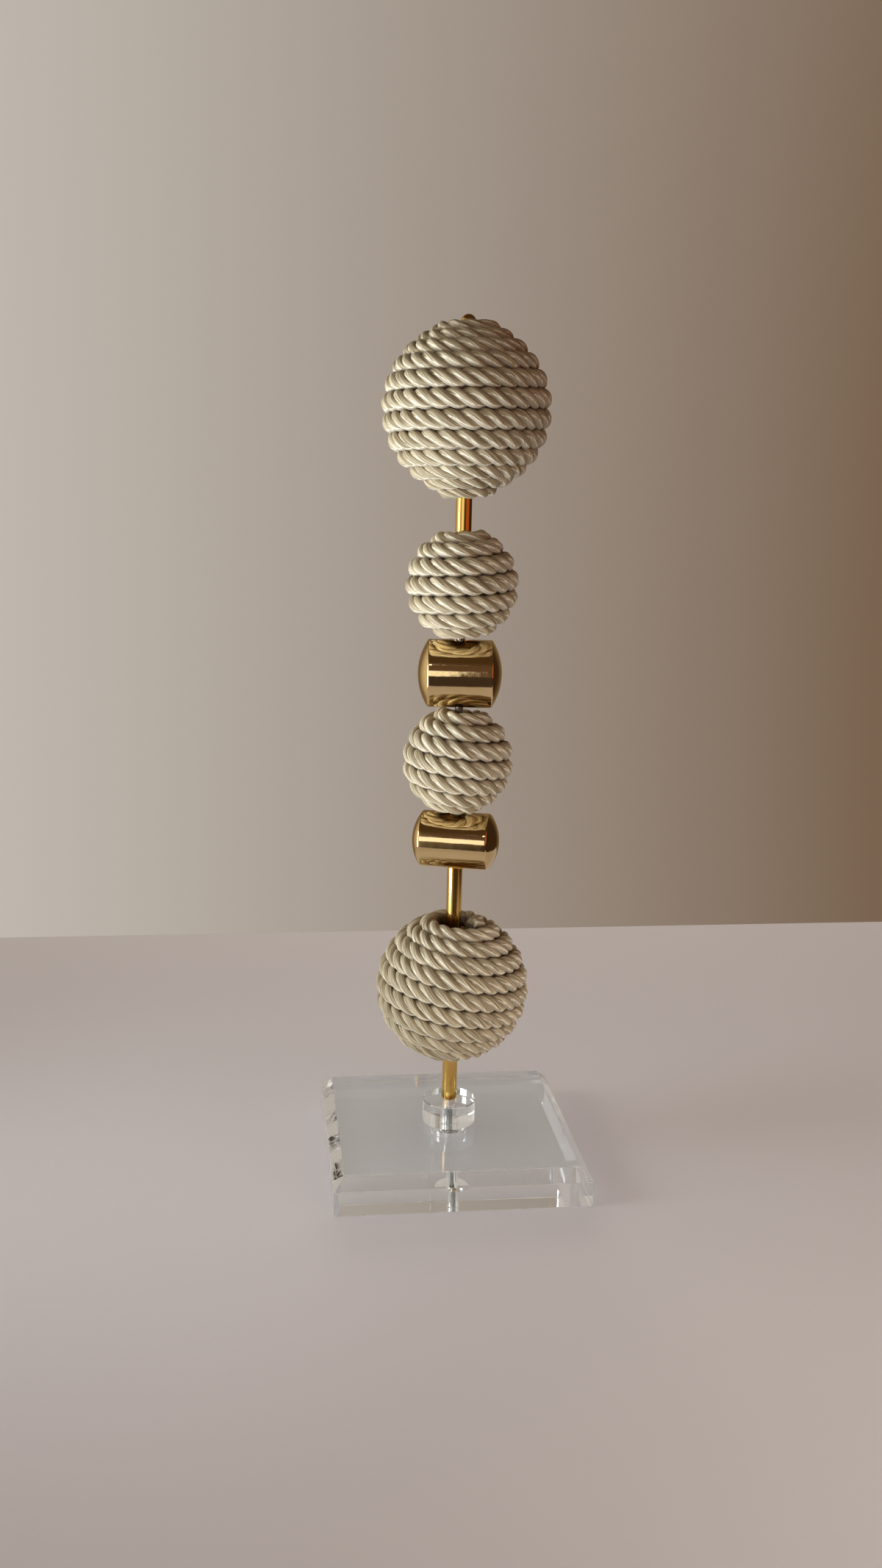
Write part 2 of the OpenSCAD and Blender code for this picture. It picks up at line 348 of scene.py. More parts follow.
baseCollar = {"edge": 0.3, "boreRadius": 2.25, "segments": 96, "seam": 0.02}  # seam: air under the collar


def makeBaseCollar():
    low, high = boxMm("base_collar")
    foot = low.z + baseCollar["seam"]
    profile = ringProfile(baseCollar["boreRadius"], high.x, foot, high.z, baseCollar["edge"])
    rings = latheRings(profile, baseCollar["segments"])
    collar = addPiece("base_collar_clear", *joinRings(rings, True), acrylic)
    settle(collar, "stand", "clear_acrylic", "base_collar")


makeBasePlate()
makeBaseCollar()
print("clear base made")


# Gilt tubes: plain lengths with a small turned edge
tube = {"boreRadius": 2.1, "edge": 0.25, "segments": 64}


def makeTube(node):
    low, high = boxMm(node)
    profile = ringProfile(tube["boreRadius"], high.x, low.z, high.z, tube["edge"])
    piece = addPiece(node + "_gilt", *joinRings(latheRings(profile, tube["segments"]), True), giltTube)
    settle(piece, "stand", "gilt_tube", node)


for tubeNode in ("lower_tube", "middle_tube", "upper_tube"):
    makeTube(tubeNode)
print("tubes made")


# Washers, nuts and the cap nut
washer = {"boreRadius": 2.1, "edge": 0.12, "segments": 64}
nut = {
    "acrossFlats": 7.0,
    "relief": 0.15,         # step from the flats in to the round end face
    "boreRadius": 2.05,
    "height": 3.2,
    "segments": 72,
    "chamferTan": math.tan(math.radians(30)),   # slope of the turned-down corners
    "sharpAngle": 12,
}
capNut = {"domeRadius": 2.8, "boreDepth": 5.0, "domeSteps": 12}


def makeWasher(node):
    low, high = boxMm(node)
    edge, bore, radius = washer["edge"], washer["boreRadius"], high.x
    profile = [
        (bore, low.z), (radius - edge, low.z), (radius, low.z + edge), (radius, high.z - edge),
        (radius - edge, high.z), (bore, high.z),
    ]
    piece = addPiece(node + "_steel", *joinRings(latheRings(profile, washer["segments"]), True), zincSteel)
    settle(piece, "stand", "zinc_steel", node)


def hexRings(foot, head):
    # both ends of a hexagon whose corners are turned down to a round face
    angles = evenAngles(nut["segments"])
    face = nut["acrossFlats"] / 2 - nut["relief"]
    low, high = [], []
    for a in angles:
        flat = (a + math.pi / 6) % (math.pi / 3) - math.pi / 6
        radius = nut["acrossFlats"] / 2 / math.cos(flat)
        drop = (radius - face) * nut["chamferTan"]
        spoke = Vector((math.cos(a), math.sin(a), 0)) * radius
        low.append(spoke + Vector((0, 0, foot + drop)))
        high.append(spoke + Vector((0, 0, head - drop)))
    return [circleRing(face, foot, angles), low, high, circleRing(face, head, angles)]


def makeBaseNut():
    low, high = boxMm("base_nut")
    angles = evenAngles(nut["segments"])
    bore = [circleRing(nut["boreRadius"], high.z, angles), circleRing(nut["boreRadius"], low.z, angles)]
    rings = hexRings(low.z, high.z) + bore
    piece = addPiece("base_nut_steel", *joinRings(rings, True), zincSteel, nut["sharpAngle"])
    settle(piece, "stand", "zinc_steel", "base_nut")


def makeCapNut():
    low, high = boxMm("cap_nut")
    angles = evenAngles(nut["segments"])
    radius, foot, head = capNut["domeRadius"], low.z, low.z + nut["height"]
    ceiling, springing = foot + capNut["boreDepth"], high.z - capNut["domeRadius"]
    rings = [[Vector((0, 0, ceiling))], circleRing(nut["boreRadius"], ceiling, angles),
             circleRing(nut["boreRadius"], foot, angles)]
    rings += hexRings(foot, head)
    rings += [circleRing(radius, head, angles)]
    for i in range(capNut["domeSteps"]):
        angle = math.pi / 2 * i / capNut["domeSteps"]
        rings.append(circleRing(radius * math.cos(angle), springing + radius * math.sin(angle), angles))
    rings.append([Vector((0, 0, high.z))])
    piece = addPiece("cap_nut_gilt", *joinRings(rings, False), giltTube, nut["sharpAngle"])
    settle(piece, "cap_nut", "gilt_tube", "cap_nut")


makeWasher("base_washer")
makeWasher("top_washer")
makeBaseNut()
makeCapNut()
print("fasteners made")


# Cross barrels: a straight cylinder with a shallow dome at each end, drilled across for the rod
barrels = {
    # straight: length of the cylinder; turn: degrees about the rod
    "lower_barrel": {"straight": 26.5, "turn": -17},
    "upper_barrel": {"straight": 24.5, "turn": -7},
}
barrelShape = {
    "dome": 3.9,
    "rim": 0.5,             # rounding where the dome starts
    "around": 128,
    "holePatch": (6.0, 12, 10),     # half length, steps along, steps to each side round the hole
    "patchRings": 4,
    "domeSteps": 14,
    "rimSteps": 4,
    "seatRadius": 3.1,
    "seatDepth": 2.0,
    "boreRadius": 2.1,
    "holeEdge": 0.15,
    "sharpAngle": 40,
}


def barrelProfile(radius, half):
    # from the edge of the hole's patch out to the pole of the right dome, as (x, radius)
    dome, rim = barrelShape["dome"], barrelShape["rim"]
    ball = (radius ** 2 + dome ** 2) / (2 * dome)
    centre = half + dome - ball
    rimAngle = math.asin(radius / ball)
    patch = barrelShape["holePatch"][0]
    steps = max(2, round(half - rim - patch))
    line = [(patch + (half - rim - patch) * i / steps, radius) for i in range(steps + 1)]
    start = Vector((half - rim, radius))
    crest = Vector((half, radius))
    endAngle = rimAngle - rim / ball
    end = Vector((centre + ball * math.cos(endAngle), ball * math.sin(endAngle)))
    for i in range(1, barrelShape["rimSteps"] + 1):
        t = i / barrelShape["rimSteps"]
        line.append(tuple(start.lerp(crest, t).lerp(crest.lerp(end, t), t)))
    for i in range(1, barrelShape["domeSteps"] + 1):
        angle = endAngle * (1 - i / barrelShape["domeSteps"])
        line.append((centre + ball * math.cos(angle), max(0.0, ball * math.sin(angle))))
    return line


def makeBarrel(node):
    low, high = boxMm(node)
    middle, radius = (low.z + high.z) / 2, (high.z - low.z) / 2
    around = barrelShape["around"]
    patch, along, aside = barrelShape["holePatch"]
    right = barrelProfile(radius, barrels[node]["straight"] / 2)
    centreLine = [(-patch + 2 * patch * i / along, radius) for i in range(1, along)]
    profile = [(-x, r) for x, r in reversed(right)] + centreLine + right
    firstPatch = len(right) - 1
    points, faces, index = [], [], {}

    def corner(i, j):
        # a point of the plain turned surface, made once; angle 0 is the top
        x, r = profile[i]
        key = (i, j % around if 0 < i < len(profile) - 1 else 0)
        if key not in index:
            angle = 2 * math.pi * j / around
            index[key] = len(points)
            points.append(Vector((x, r * math.sin(angle), r * math.cos(angle))))
        return index[key]

    for i in range(len(profile) - 1):
        for j in range(around):
            aboutTop = (j + aside) % (around // 2)
            if firstPatch <= i < firstPatch + along and aboutTop < 2 * aside:
                continue
            cell = [corner(i, j), corner(i + 1, j), corner(i + 1, j + 1), corner(i, j + 1)]
            faces.append(list(dict.fromkeys(cell)))

    def holeRing(flip):
        # the square patch round a hole, closing in on the hole's circle; flip turns it to the underside
        turn = Matrix.Rotation(math.pi, 3, "X") if flip else Matrix.Identity(3)
        shift = around // 2 if flip else 0
        edge = [(i, -aside) for i in range(along)] + [(along, j) for j in range(-aside, aside)]
        edge += [(i, aside) for i in range(along, 0, -1)] + [(0, j) for j in range(aside, -aside, -1)]
        ring = [corner(firstPatch + i, shift + (-j if flip else j)) for i, j in edge]
        starts = [turn @ points[k] for k in ring]
        hole = barrelShape["seatRadius"] + barrelShape["holeEdge"]
        for step in range(1, barrelShape["patchRings"] + 1):
            share = step / barrelShape["patchRings"]
            inner = []
            for p in starts:
                aim = math.atan2(p.y, p.x)
                x = p.x + (hole * math.cos(aim) - p.x) * share
                y = p.y + (hole * math.sin(aim) - p.y) * share
                inner.append(len(points))
                points.append(turn @ Vector((x, y, math.sqrt(radius ** 2 - y ** 2))))
            for k in range(len(ring)):
                n = (k + 1) % len(ring)
                faces.append([ring[k], ring[n], inner[n], inner[k]])
            ring = inner
        return sorted(ring, key=lambda k: math.atan2(points[k].y, points[k].x))

    top = holeRing(False)
    bottom = holeRing(True)
    angles = [math.atan2(points[k].y, points[k].x) for k in top]
    seat, bore = barrelShape["seatRadius"], barrelShape["boreRadius"]
    floor = radius - barrelShape["seatDepth"]
    walls = [top]
    for r, z in ((seat, floor), (bore, floor), (bore, -floor), (seat, -floor)):
        walls.append(list(range(len(points), len(points) + len(angles))))
        points.extend(circleRing(r, z, angles))
    walls.append(bottom)
    for upper, lower in zip(walls, walls[1:]):
        for k in range(len(upper)):
            n = (k + 1) % len(upper)
            faces.append([upper[k], upper[n], lower[n], lower[k]])
    turn = Matrix.Rotation(math.radians(barrels[node]["turn"]), 3, "Z")
    placed = [turn @ p + Vector((0, 0, middle)) for p in points]
    piece = addPiece(node + "_gilt", placed, faces, giltBarrel, barrelShape["sharpAngle"])
    settle(piece, node, "gilt_barrel", node)


for barrelNode in barrels:
    makeBarrel(barrelNode)
print("barrels made")


# Geometry Nodes trees

def newTree(name, inputs):
    # a tree with named inputs; returns it with its input node and the inputs' identifiers
    tree = bpy.data.node_groups.new(name, "GeometryNodeTree")
    tree.interface.new_socket("Geometry", in_out="INPUT", socket_type="NodeSocketGeometry")
    tree.interface.new_socket("Geometry", in_out="OUTPUT", socket_type="NodeSocketGeometry")
    identifiers = {}
    for inputName, kind in inputs.items():
        socket = tree.interface.new_socket(inputName, in_out="INPUT", socket_type="NodeSocket" + kind)
        identifiers[inputName] = socket.identifier
    return tree, addNode(tree, "NodeGroupInput"), identifiers


def endTree(tree, geometry, material):
    real = addNode(tree, "GeometryNodeRealizeInstances", {"Geometry": geometry})
    painted = addNode(tree, "GeometryNodeSetMaterial", {"Geometry": real.outputs[0], "Material": material})
    addNode(tree, "NodeGroupOutput", {"Geometry": painted.outputs[0]})


def growPiece(name, points, edges, faces, tree, identifiers, values):
    # runs a tree on a small starting mesh and keeps the result as a plain mesh
    mesh = bpy.data.meshes.new(name + "Start")
    mesh.from_pydata([p * mm for p in points], edges, faces)
    start = bpy.data.objects.new(name + "Start", mesh)
    modifier = start.modifiers.new("grow", "NODES")
    modifier.node_group = tree
    for inputName, value in values.items():
        modifier[identifiers[inputName]] = value
    bpy.context.scene.collection.objects.link(start)
    graph = bpy.context.evaluated_depsgraph_get()
    grown = bpy.data.meshes.new_from_object(start.evaluated_get(graph))
    start.modifiers.remove(modifier)
    bpy.data.objects.remove(start)
    grown.name = name
    piece = bpy.data.objects.new(name, grown)
    bpy.context.scene.collection.objects.link(piece)
    return piece


# Threaded rod: a plain core with one rolled thread wound up it
rod = {
    "pitch": 0.7,
    "rootRadius": 1.6,
    "sink": 0.05,           # how far the thread's foot goes into the core
    "footShare": 0.42,      # half the thread's width at its foot, as a share of the pitch
    "crestShare": 0.08,     # the same at its crest
    "segments": 20,
    "chamfer": 0.5,
    "coreSegments": 32,
    "sharpAngle": 35,
}


def threadTree():
    tree, given, identifiers = newTree("rolledThread", {
        "Turns": "Float", "Pitch": "Float", "Root": "Float", "Crest": "Float", "Foot": "Float",
        "Segments": "Int", "Material": "Material"})
    height = addNode(tree, "ShaderNodeMath", {0: given.outputs["Turns"], 1: given.outputs["Pitch"]},
                     operation="MULTIPLY").outputs[0]
    spiral = addNode(tree, "GeometryNodeCurveSpiral", {
        "Resolution": given.outputs["Segments"], "Rotations": given.outputs["Turns"],
        "Start Radius": given.outputs["Root"], "End Radius": given.outputs["Root"], "Height": height})
    foot = addNode(tree, "ShaderNodeCombineXYZ", {"Z": given.outputs["Foot"]})
    raised = addNode(tree, "GeometryNodeSetPosition",
                     {"Geometry": spiral.outputs[0], "Offset": foot.outputs[0]})
    upright = addNode(tree, "GeometryNodeSetCurveNormal", {"Curve": raised.outputs[0]}, mode="Z_UP")
    rise = addNode(tree, "ShaderNodeMath", {0: given.outputs["Crest"], 1: given.outputs["Root"]},
                   operation="SUBTRACT").outputs[0]
    half = addNode(tree, "ShaderNodeMath", {0: given.outputs["Pitch"], 1: rod["footShare"]},
                   operation="MULTIPLY").outputs[0]
    flat = addNode(tree, "ShaderNodeMath", {0: given.outputs["Pitch"], 1: rod["crestShare"]},
                   operation="MULTIPLY").outputs[0]
    flatDown = addNode(tree, "ShaderNodeMath", {0: flat, 1: -1.0}, operation="MULTIPLY").outputs[0]
    halfDown = addNode(tree, "ShaderNodeMath", {0: half, 1: -1.0}, operation="MULTIPLY").outputs[0]
    corners = [addNode(tree, "ShaderNodeCombineXYZ", {"X": out, "Y": up}).outputs[0]
               for out, up in ((0.0, halfDown), (rise, flatDown), (rise, flat), (0.0, half))]
    pointSockets = (7, 8, 9, 10)
    section = addNode(tree, "GeometryNodeCurvePrimitiveQuadrilateral", dict(zip(pointSockets, corners)),
                      mode="POINTS")
    thread = addNode(tree, "GeometryNodeCurveToMesh", {
        "Curve": upright.outputs[0], "Profile Curve": section.outputs[0], "Fill Caps": True})
    joined = addNode(tree, "GeometryNodeJoinGeometry", {"Geometry": thread.outputs[0]})
    tree.links.new(given.outputs["Geometry"], joined.inputs["Geometry"])
    endTree(tree, joined.outputs[0], given.outputs["Material"])
    return tree, identifiers


def makeRod():
    low, high = boxMm("core_rod")
    root, chamfer, crest = rod["rootRadius"], rod["chamfer"], high.x
    profile = [(0, low.z), (root - chamfer / 2, low.z), (root, low.z + chamfer / 2),
               (root, high.z - chamfer / 2), (root - chamfer / 2, high.z), (0, high.z)]
    points, faces = joinRings(latheRings(profile, rod["coreSegments"]), False)
    turns = math.floor((high.z - low.z - 2 * chamfer) / rod["pitch"])
    tree, identifiers = threadTree()
    piece = growPiece("core_rod_threaded", points, [], faces, tree, identifiers, {
        "Turns": float(turns), "Pitch": rod["pitch"] * mm, "Root": (root - rod["sink"]) * mm,
        "Crest": crest * mm, "Foot": (low.z + chamfer) * mm, "Segments": rod["segments"],
        "Material": zincSteel})
    piece.data.shade_smooth()
    piece.data.set_sharp_from_angle(angle=math.radians(rod["sharpAngle"]))
    settle(piece, "stand", "zinc_steel", "core_rod")


makeRod()
print("rod made")


# Cord windings: one twisted cord laid over each ball in a spiral from pole to pole
cord = {
    "high": 6.6,            # across the cord, out from the ball
    "strands": 3,
    "strandRadius": 1.9,
    "lay": 18.5,            # length of one full twist
    "around": 20,           # points round a strand
    "ringStep": 1.0,        # length between a strand's rings of points
    "squeeze": 1.1,         # width over row spacing: rows press into each other
    "glue": 0.1,            # between the core and the cord
    "endRide": 4.0,         # how steeply an end that lies on at a rim rides up over the next row
    "pathSteps": 1600,
}
balls = {
    # over, under: opening across each pole; hand: 1 where rows fall to the right at the front;
    # first: turns past the front where the cord leaves its top rim; rows: turns from rim to rim;
    # lead, trail: turns that the ends lie on at the rims; crowd: how much closer the top rows lie;
    # swell: how much wider the middle rows lie; lean: tilt to the right at the poles, in degrees;
    # swing: how much more at the middle; lift, drop: how far the first and last turns stand off along the rod
    "bottom_ball": {
        "over": 8.7, "under": 9.6, "hand": 1, "first": 0.15, "rows": 10.1, "lead": 0.0, "trail": 0.2,
        "crowd": 0.09, "swell": 0.0, "lean": 2.0, "swing": 5.2, "lift": 0.0, "drop": 0.0},
    "lower_ball": {
        "over": 4.8, "under": 4.8, "hand": 1, "first": -0.35, "rows": 6.75, "lead": 0.0, "trail": 0.0,
        "crowd": 0.0, "swell": 0.0, "lean": 0.0, "swing": 3.4, "lift": 0.0, "drop": 0.0},
    "upper_ball": {
        "over": 7.3, "under": 4.8, "hand": -1, "first": 0.0, "rows": 6.5, "lead": 0.3, "trail": 0.0,
        "crowd": 0.0, "swell": 0.0, "lean": 0.0, "swing": 0.5, "lift": 0.0, "drop": 0.0},
    "top_ball": {
        "over": 10.2, "under": 8.2, "hand": -1, "first": 0.0, "rows": 11, "lead": 0.35, "trail": 0.25,
        "crowd": 0.0, "swell": 0.07, "lean": 0.0, "swing": 0.8, "lift": 1.0, "drop": 1.6},
}


def makeSatinCord():
    # Satin cord of twisted filament yarn: each strand is a grey tan with fine streaks. Painted over that by
    # the strand's flank: a browner painted shade on the upper flank, one narrow pale painted highlight along
    # the lower flank, an olive painted shade under it, and brown painted shade in the seams.
    # Filaments and yarns are drawn coarser than real ones, which would be too fine to show
    material, tree, shader = newMaterial("ivorySatinCord")
    fibre = addNode(tree, "ShaderNodeAttribute", attribute_name="fibre").outputs["Vector"]
    depth = addNode(tree, "ShaderNodeAttribute", attribute_name="crest").outputs["Fac"]
    flank = addNode(tree, "ShaderNodeAttribute", attribute_name="flank").outputs["Fac"]
    crossing = math.radians(12)     # how steeply the filaments cross the strand
    filament, filamentRun, yarnWidth, yarnRun = 0.3 * mm, 7 * mm, 0.8 * mm, 14 * mm

    # filaments and yarns in the unrolled face of the strand
    place = addNode(tree, "ShaderNodeSeparateXYZ", {0: fibre})
    angle = addNode(tree, "ShaderNodeMath", {0: place.outputs["Y"], 1: place.outputs["X"]},
                    operation="ARCTAN2")
    girth = addNode(tree, "ShaderNodeMath", {0: angle.outputs[0], 1: cord["strandRadius"] * mm},
                    operation="MULTIPLY")
    flat = addNode(tree, "ShaderNodeCombineXYZ", {"X": girth.outputs[0], "Y": place.outputs["Z"]})
    turned = addNode(tree, "ShaderNodeVectorRotate", {"Vector": flat.outputs[0], "Angle": -crossing},
                     rotation_type="Z_AXIS").outputs[0]
    fineGrid = addNode(tree, "ShaderNodeMapping",
                       {"Vector": turned, "Scale": (1 / filament, 1 / filamentRun, 1.0)})
    lines = addNode(tree, "ShaderNodeTexNoise", {"Vector": fineGrid.outputs[0], "Scale": 1.0, "Detail": 2.0})
    yarnGrid = addNode(tree, "ShaderNodeMapping",
                       {"Vector": turned, "Scale": (1 / yarnWidth, 1 / yarnRun, 1.0)})
    yarns = addNode(tree, "ShaderNodeTexNoise", {"Vector": yarnGrid.outputs[0], "Scale": 1.0, "Detail": 1.0})

    # over the streaked body: painted shade on the upper flank, the painted highlight line, painted shade on
    # the lower flank and painted shade in the seams
    streaks = addNode(tree, "ShaderNodeMix", {0: 0.45, 2: lines.outputs[0], 3: yarns.outputs[0]}).outputs[0]
    body = addNode(tree, "ShaderNodeMapRange", {0: streaks, 1: 0.42, 2: 0.58})
    tone = addNode(tree, "ShaderNodeMix", {0: body.outputs[0], 6: linear("#92866A"), 7: linear("#E4DBBF")},
                   data_type="RGBA")
    # painted shade: the upper flank of each strand darkened toward a browner tan
    shade = addNode(tree, "ShaderNodeMapRange", {0: flank, 1: -0.9, 2: 0.1, 3: 0.45, 4: 0.0})
    upperShadePainted = addNode(tree, "ShaderNodeMix", {0: shade.outputs[0], 6: tone.outputs[2], 7: linear("#7A6240")},
                     data_type="RGBA")
    # painted highlight: a narrow pale line along each strand's lower flank, wavering with the streaks
    wander = addNode(tree, "ShaderNodeMapRange", {0: streaks, 1: 0.4, 2: 0.6, 3: -0.12, 4: 0.12})
    turn = addNode(tree, "ShaderNodeMath", {0: flank, 1: wander.outputs[0]}, operation="ADD").outputs[0]
    light = addNode(tree, "ShaderNodeMapRange", {0: turn, 1: 0.24, 2: 0.32, 3: 0.0, 4: 0.9},
                    interpolation_type="SMOOTHSTEP")
    lit = addNode(tree, "ShaderNodeMix", {0: light.outputs[0], 6: upperShadePainted.outputs[2], 7: linear("#FCF7E4")},
                  data_type="RGBA")
    # painted shade: olive on the flank under the highlight line
    under = addNode(tree, "ShaderNodeMapRange", {0: turn, 1: 0.42, 2: 0.58, 3: 0.0, 4: 0.55},
                    interpolation_type="SMOOTHSTEP")
    underShadePainted = addNode(tree, "ShaderNodeMix", {0: under.outputs[0], 6: lit.outputs[2], 7: linear("#75654A")},
                    data_type="RGBA")
    # painted shade: brown in the seams, where the cord lies lowest between strands and rows
    seamShadeShare = addNode(tree, "ShaderNodeMapRange", {0: depth, 1: 0.0, 2: 0.42, 3: 0.85, 4: 0.0})
    seamShadePainted = addNode(tree, "ShaderNodeMix", {0: seamShadeShare.outputs[0], 6: underShadePainted.outputs[2], 7: linear("#4E391A")},
                   data_type="RGBA")
    gloss = addNode(tree, "ShaderNodeMapRange", {0: streaks, 1: 0.35, 2: 0.65, 3: 0.55, 4: 0.72})
    ridges = addNode(tree, "ShaderNodeBump",
                     {"Strength": 0.5, "Distance": 0.15 * mm, "Height": yarns.outputs[0]})
    fine = addNode(tree, "ShaderNodeBump", {"Strength": 1.0, "Distance": 0.3 * mm, "Height": lines.outputs[0],
                                            "Normal": ridges.outputs[0]})
    setInputs(tree, shader, {
        "Base Color": seamShadePainted.outputs[2], "Roughness": gloss.outputs[0], "Normal": fine.outputs[0],
        "Specular IOR Level": 0.4, "IOR": 1.54, "Sheen Weight": 0.3, "Sheen Roughness": 0.3})
    return material


def cordTree():
    tree, given, identifiers = newTree("twistedCord", {
        "Centre": "Vector", "Strands": "Int", "Lay": "Float", "High": "Float", "Wide": "Float",
        "Strand radius": "Float", "Around": "Int", "Ring step": "Float", "Material": "Material"})
    path = addNode(tree, "GeometryNodeMeshToCurve", {"Mesh": given.outputs["Geometry"]})
    even = addNode(tree, "GeometryNodeResampleCurve",
                   {"Curve": path.outputs[0], "Length": given.outputs["Ring step"]}, mode="LENGTH")
    copies = addNode(tree, "GeometryNodeDuplicateElements",
                     {"Geometry": even.outputs[0], "Amount": given.outputs["Strands"]}, domain="SPLINE")

    # how far round the cord a strand has turned: its share of the twist plus its own place
    length = addNode(tree, "GeometryNodeSplineParameter").outputs["Length"]
    twist = addNode(tree, "ShaderNodeMath", {0: length, 1: given.outputs["Lay"]},
                    operation="DIVIDE").outputs[0]
    share = addNode(tree, "ShaderNodeMath",
                    {0: copies.outputs["Duplicate Index"], 1: given.outputs["Strands"]},
                    operation="DIVIDE").outputs[0]
    turns = addNode(tree, "ShaderNodeMath", {0: twist, 1: share}, operation="ADD").outputs[0]
    angle = addNode(tree, "ShaderNodeMath", {0: turns, 1: 2 * math.pi}, operation="MULTIPLY").outputs[0]

    # out from the ball, turned about the cord's own line
    place = addNode(tree, "GeometryNodeInputPosition").outputs[0]
    fromCentre = addNode(tree, "ShaderNodeVectorMath", {0: place, 1: given.outputs["Centre"]},
                         operation="SUBTRACT")
    out = addNode(tree, "ShaderNodeVectorMath", {0: fromCentre.outputs[0]}, operation="NORMALIZE").outputs[0]
    tangent = addNode(tree, "GeometryNodeInputTangent").outputs[0]
    spoke = addNode(tree, "ShaderNodeVectorRotate", {"Vector": out, "Axis": tangent, "Angle": angle},
                    rotation_type="AXIS_ANGLE").outputs[0]

    # the cord is a little wider than it is high
    halfHigh, halfWide = [
        addNode(tree, "ShaderNodeMath", {0: given.outputs[size], 1: 0.5}, operation="MULTIPLY").outputs[0]
        for size in ("High", "Wide")]
    reach = addNode(tree, "ShaderNodeMath", {0: halfWide, 1: given.outputs["Strand radius"]},
                    operation="SUBTRACT").outputs[0]
    spare = addNode(tree, "ShaderNodeMath", {0: halfWide, 1: halfHigh}, operation="SUBTRACT").outputs[0]
    upShare = addNode(tree, "ShaderNodeVectorMath", {0: spoke, 1: out},
                      operation="DOT_PRODUCT").outputs["Value"]
    press = addNode(tree, "ShaderNodeMath", {0: upShare, 1: spare}, operation="MULTIPLY").outputs[0]
    sideways = addNode(tree, "ShaderNodeVectorMath", {0: spoke, "Scale": reach}, operation="SCALE").outputs[0]
    flatten = addNode(tree, "ShaderNodeVectorMath", {0: out, "Scale": press}, operation="SCALE").outputs[0]
    offset = addNode(tree, "ShaderNodeVectorMath", {0: sideways, 1: flatten}, operation="SUBTRACT").outputs[0]

    # kept for later: values of the cord's line before a strand moves off it, then of the strand's own line
    kept = copies.outputs[0]
    for name, value, kind in (("spoke", spoke, "FLOAT_VECTOR"), ("outward", out, "FLOAT_VECTOR"),
                              ("cordLine", place, "FLOAT_VECTOR"), ("run", length, "FLOAT")):
        kept = addNode(tree, "GeometryNodeStoreNamedAttribute",
                       {"Geometry": kept, "Name": name, "Value": value}, data_type=kind).outputs[0]
    lined = addNode(tree, "GeometryNodeSetPosition", {"Geometry": kept, "Offset": offset}).outputs[0]
    for name, value in (("strandMiddle", place), ("strandLine", tangent)):
        lined = addNode(tree, "GeometryNodeStoreNamedAttribute",
                        {"Geometry": lined, "Name": name, "Value": value},
                        data_type="FLOAT_VECTOR").outputs[0]
    spokeRead = addNode(tree, "GeometryNodeInputNamedAttribute", {"Name": "spoke"}, data_type="FLOAT_VECTOR")
    framed = addNode(tree, "GeometryNodeSetCurveNormal",
                     {"Curve": lined, "Normal": spokeRead.outputs[0]}, mode="FREE")

    # a strand's section is a circle, which keeps each point's place in it
    circle = addNode(tree, "GeometryNodeCurvePrimitiveCircle",
                     {"Resolution": given.outputs["Around"], "Radius": given.outputs["Strand radius"]})
    section = addNode(tree, "GeometryNodeStoreNamedAttribute",
                      {"Geometry": circle.outputs[0], "Name": "section", "Value": place},
                      data_type="FLOAT_VECTOR")
    solid = addNode(tree, "GeometryNodeCurveToMesh", {
        "Curve": framed.outputs[0], "Profile Curve": section.outputs[0], "Fill Caps": True})

    # what the material reads: place across and along the strand, and height out of the winding
    sectionRead, lineRead, outRead, middleRead, strandRead = [
        addNode(tree, "GeometryNodeInputNamedAttribute", {"Name": name}, data_type="FLOAT_VECTOR")
        for name in ("section", "cordLine", "outward", "strandMiddle", "strandLine")]
    runRead = addNode(tree, "GeometryNodeInputNamedAttribute", {"Name": "run"}, data_type="FLOAT")
    runUp = addNode(tree, "ShaderNodeCombineXYZ", {"Z": runRead.outputs[0]})
    fibrePlace = addNode(tree, "ShaderNodeVectorMath", {0: sectionRead.outputs[0], 1: runUp.outputs[0]},
                         operation="ADD").outputs[0]
    fibre = addNode(tree, "GeometryNodeStoreNamedAttribute",
                    {"Geometry": solid.outputs[0], "Name": "fibre", "Value": fibrePlace},
                    data_type="FLOAT_VECTOR")
    fromLine = addNode(tree, "ShaderNodeVectorMath", {0: place, 1: lineRead.outputs[0]}, operation="SUBTRACT")
    rise = addNode(tree, "ShaderNodeVectorMath", {0: fromLine.outputs[0], 1: outRead.outputs[0]},
                   operation="DOT_PRODUCT").outputs["Value"]
    crestShare = addNode(tree, "ShaderNodeMath", {0: rise, 1: halfHigh}, operation="DIVIDE").outputs[0]
    crest = addNode(tree, "GeometryNodeStoreNamedAttribute",
                    {"Geometry": fibre.outputs[0], "Name": "crest", "Value": crestShare}, data_type="FLOAT")

